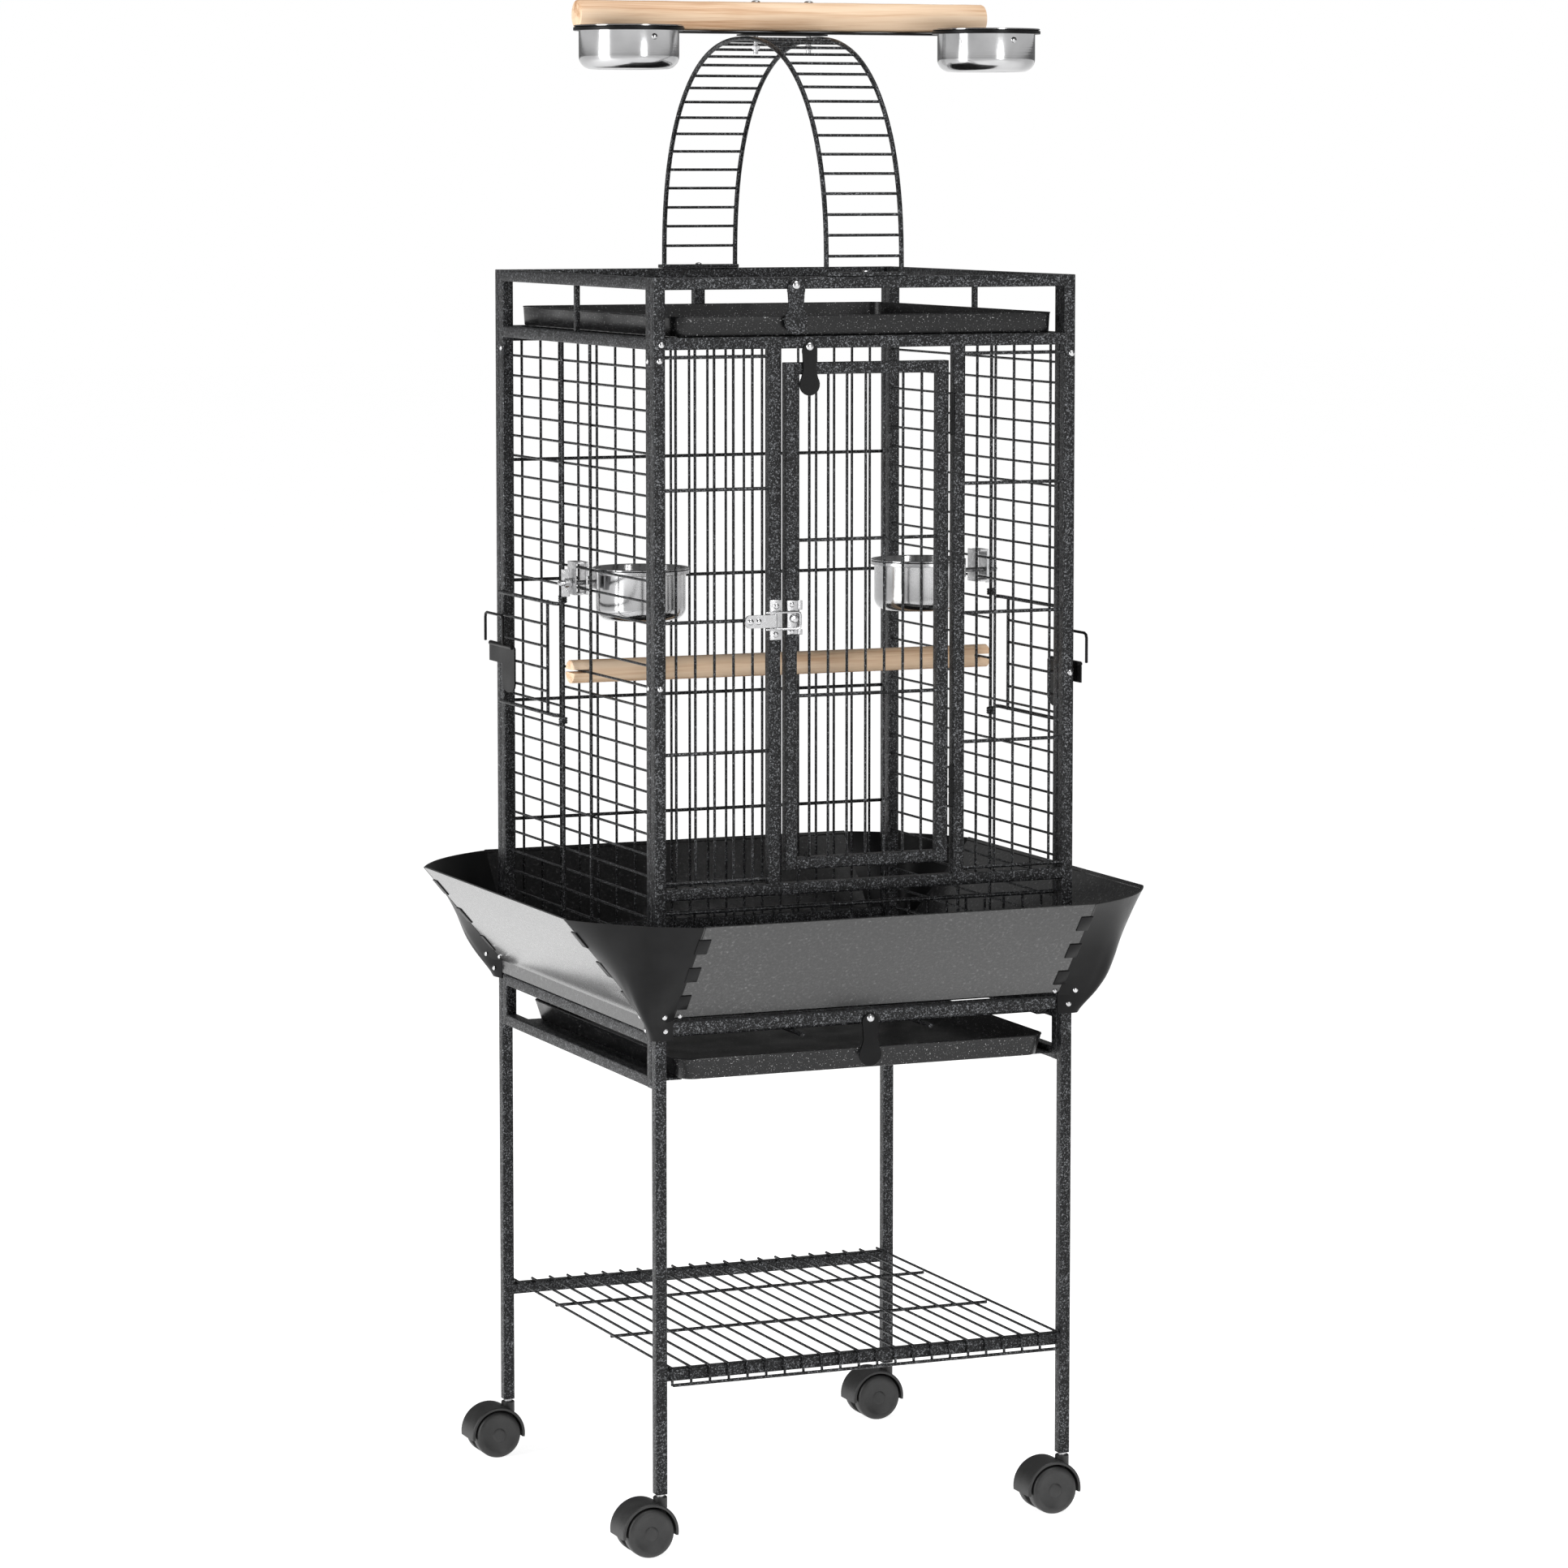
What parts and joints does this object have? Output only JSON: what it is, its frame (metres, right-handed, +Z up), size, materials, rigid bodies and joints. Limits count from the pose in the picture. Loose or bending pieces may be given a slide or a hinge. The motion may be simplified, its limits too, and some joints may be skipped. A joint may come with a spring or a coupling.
{
  "type": "bird cage on stand",
  "caption": "Play-top bird cage on a rolling stand, with a front door, side feeder doors, pull-out trays, a seed skirt, perches, cups and a ladder arch.",
  "frame": {"origin": "on the floor, under the middle of the cage", "axes": "+X to the right of a person facing the front door, +Y to the rear, +Z up"},
  "size_m": [0.64, 0.64, 1.5552],
  "materials": {
    "hammertone": "black hammertone powder coat with silver grey speckle",
    "black_satin": "smooth satin black paint",
    "painted_sheet": "dark grey powder coat with fine speckle",
    "polished_steel": "polished stainless steel",
    "chrome": "bright plated steel",
    "zinc": "zinc plated steel",
    "perch_wood": "smooth turned pine, unvarnished",
    "caster_plastic": "black moulded plastic"
  },
  "bodies": {
    "cage": {"stand_front_frame": "hammertone", "stand_rear_frame": "hammertone", "wire_shelf": "hammertone", "side_panel_left": "hammertone", "side_panel_right": "hammertone", "front_panel": "hammertone", "rear_panel": "hammertone", "front_fence": "hammertone", "roof_grille": "hammertone", "door_hinge_lower": "black_satin", "door_hinge_upper": "black_satin", "lock_plate": "chrome", "skirt_panel_front": "painted_sheet", "skirt_panel_rear": "painted_sheet", "skirt_panel_left": "painted_sheet", "skirt_panel_right": "painted_sheet", "skirt_corner_rear_left": "black_satin", "skirt_corner_rear_right": "black_satin", "skirt_corner_front_left": "black_satin", "skirt_corner_front_right": "black_satin", "ladder_arch": "hammertone", "perch_plate": "black_satin", "cup_bar": "black_satin", "top_perch": "perch_wood", "cup_holder_left": "zinc", "cup_holder_right": "zinc", "cup_clamp_left": "zinc", "cup_clamp_right": "zinc", "wing_nut_left": "zinc", "wing_nut_right": "zinc", "inner_perch": "perch_wood"},
    "front_door": {"front_door": "hammertone", "lock_keeper": "chrome"},
    "lock_lever": {"lock_lever": "chrome"},
    "lock_bail": {"lock_bail": "chrome"},
    "flap_top_tray": {"flap_top_tray": "hammertone"},
    "flap_door": {"flap_door": "black_satin"},
    "flap_bottom_tray": {"flap_bottom_tray": "black_satin"},
    "top_tray": {"top_tray": "painted_sheet"},
    "bottom_tray": {"bottom_tray": "painted_sheet"},
    "floor_grate": {"floor_grate": "hammertone"},
    "feeder_door_left": {"feeder_door_left": "hammertone", "feeder_latch_left": "black_satin"},
    "feeder_bail_left": {"feeder_bail_left": "zinc"},
    "inner_cup_left": {"inner_cup_left": "polished_steel"},
    "top_cup_left": {"top_cup_left": "polished_steel"},
    "feeder_door_right": {"feeder_door_right": "hammertone", "feeder_latch_right": "black_satin"},
    "feeder_bail_right": {"feeder_bail_right": "zinc"},
    "inner_cup_right": {"inner_cup_right": "polished_steel"},
    "top_cup_right": {"top_cup_right": "polished_steel"},
    "caster_rear_left": {"caster_fork_rear_left": "caster_plastic"},
    "wheels_rear_left": {"caster_wheels_rear_left": "caster_plastic"},
    "caster_rear_right": {"caster_fork_rear_right": "caster_plastic"},
    "wheels_rear_right": {"caster_wheels_rear_right": "caster_plastic"},
    "caster_front_left": {"caster_fork_front_left": "caster_plastic"},
    "wheels_front_left": {"caster_wheels_front_left": "caster_plastic"},
    "caster_front_right": {"caster_fork_front_right": "caster_plastic"},
    "wheels_front_right": {"caster_wheels_front_right": "caster_plastic"}
  },
  "joints": [
    {"name": "front_door_hinge", "type": "hinge", "parent": "cage", "child": "front_door", "pos_m": [0.092, -0.231, 0.939], "axis": [0, 0, 1], "range_deg": [0, 165]},
    {"name": "lock_lever_hinge", "type": "hinge", "parent": "cage", "child": "lock_lever", "pos_m": [-0.103, -0.2344, 0.9365], "axis": [0, 0, 1], "range_deg": [0, 70]},
    {"name": "lock_bail_hinge", "type": "hinge", "parent": "lock_lever", "child": "lock_bail", "pos_m": [-0.112, -0.2354, 0.9365], "axis": [0, 0, 1], "range_deg": [-140, 0]},
    {"name": "flap_top_tray_turn", "type": "hinge", "parent": "cage", "child": "flap_top_tray", "pos_m": [-0.0791, -0.2317, 1.2704], "axis": [0, -1, 0], "range_deg": [-110, 110]},
    {"name": "flap_door_turn", "type": "hinge", "parent": "cage", "child": "flap_door", "pos_m": [-0.0646, -0.2317, 1.208], "axis": [0, -1, 0], "range_deg": [0, 90]},
    {"name": "flap_bottom_tray_turn", "type": "hinge", "parent": "cage", "child": "flap_bottom_tray", "pos_m": [0.0025, -0.2317, 0.5307], "axis": [0, -1, 0], "range_deg": [-90, 90]},
    {"name": "top_tray_slide", "type": "slide", "parent": "cage", "child": "top_tray", "axis": [0, -1, 0], "range_m": [0, 0.39]},
    {"name": "bottom_tray_slide", "type": "slide", "parent": "cage", "child": "bottom_tray", "axis": [0, -1, 0], "range_m": [0, 0.378]},
    {"name": "floor_grate_slide", "type": "slide", "parent": "cage", "child": "floor_grate", "axis": [0, -1, 0], "range_m": [0, 0.3672]},
    {"name": "feeder_door_hinge_left", "type": "hinge", "parent": "cage", "child": "feeder_door_left", "pos_m": [-0.2258, 0.04, 0.878], "axis": [0, 0, 1], "range_deg": [0, 95]},
    {"name": "feeder_bail_hinge_left", "type": "hinge", "parent": "feeder_door_left", "child": "feeder_bail_left", "pos_m": [-0.2384, 0.2145, 0.8826], "axis": [0, -1, 0], "range_deg": [0, 150]},
    {"name": "inner_cup_lift_left", "type": "slide", "parent": "cage", "child": "inner_cup_left", "axis": [0, 0, 1], "range_m": [0, 0.07]},
    {"name": "top_cup_lift_left", "type": "slide", "parent": "cage", "child": "top_cup_left", "axis": [0, 0, 1], "range_m": [0, 0.06]},
    {"name": "feeder_door_hinge_right", "type": "hinge", "parent": "cage", "child": "feeder_door_right", "pos_m": [0.2258, -0.04, 0.878], "axis": [0, 0, 1], "range_deg": [0, 95]},
    {"name": "feeder_bail_hinge_right", "type": "hinge", "parent": "feeder_door_right", "child": "feeder_bail_right", "pos_m": [0.2384, -0.2145, 0.8826], "axis": [0, 1, 0], "range_deg": [0, 150]},
    {"name": "inner_cup_lift_right", "type": "slide", "parent": "cage", "child": "inner_cup_right", "axis": [0, 0, 1], "range_m": [0, 0.07]},
    {"name": "top_cup_lift_right", "type": "slide", "parent": "cage", "child": "top_cup_right", "axis": [0, 0, 1], "range_m": [0, 0.06]},
    {"name": "caster_swivel_rear_left", "type": "hinge", "parent": "cage", "child": "caster_rear_left", "pos_m": [-0.224, 0.224, 0.06], "axis": [0, 0, 1], "continuous": true},
    {"name": "wheel_spin_rear_left", "type": "hinge", "parent": "caster_rear_left", "child": "wheels_rear_left", "pos_m": [-0.241, 0.224, 0.025], "axis": [0, 1, 0], "continuous": true},
    {"name": "caster_swivel_rear_right", "type": "hinge", "parent": "cage", "child": "caster_rear_right", "pos_m": [0.224, 0.224, 0.06], "axis": [0, 0, 1], "continuous": true},
    {"name": "wheel_spin_rear_right", "type": "hinge", "parent": "caster_rear_right", "child": "wheels_rear_right", "pos_m": [0.207, 0.224, 0.025], "axis": [0, 1, 0], "continuous": true},
    {"name": "caster_swivel_front_left", "type": "hinge", "parent": "cage", "child": "caster_front_left", "pos_m": [-0.224, -0.224, 0.06], "axis": [0, 0, 1], "continuous": true},
    {"name": "wheel_spin_front_left", "type": "hinge", "parent": "caster_front_left", "child": "wheels_front_left", "pos_m": [-0.241, -0.224, 0.025], "axis": [0, 1, 0], "continuous": true},
    {"name": "caster_swivel_front_right", "type": "hinge", "parent": "cage", "child": "caster_front_right", "pos_m": [0.224, -0.224, 0.06], "axis": [0, 0, 1], "continuous": true},
    {"name": "wheel_spin_front_right", "type": "hinge", "parent": "caster_front_right", "child": "wheels_front_right", "pos_m": [0.207, -0.224, 0.025], "axis": [0, 1, 0], "continuous": true}
  ],
  "couplings": [
    {"joint": "lock_bail_hinge", "follows": "lock_lever_hinge", "ratio": -2}
  ]
}
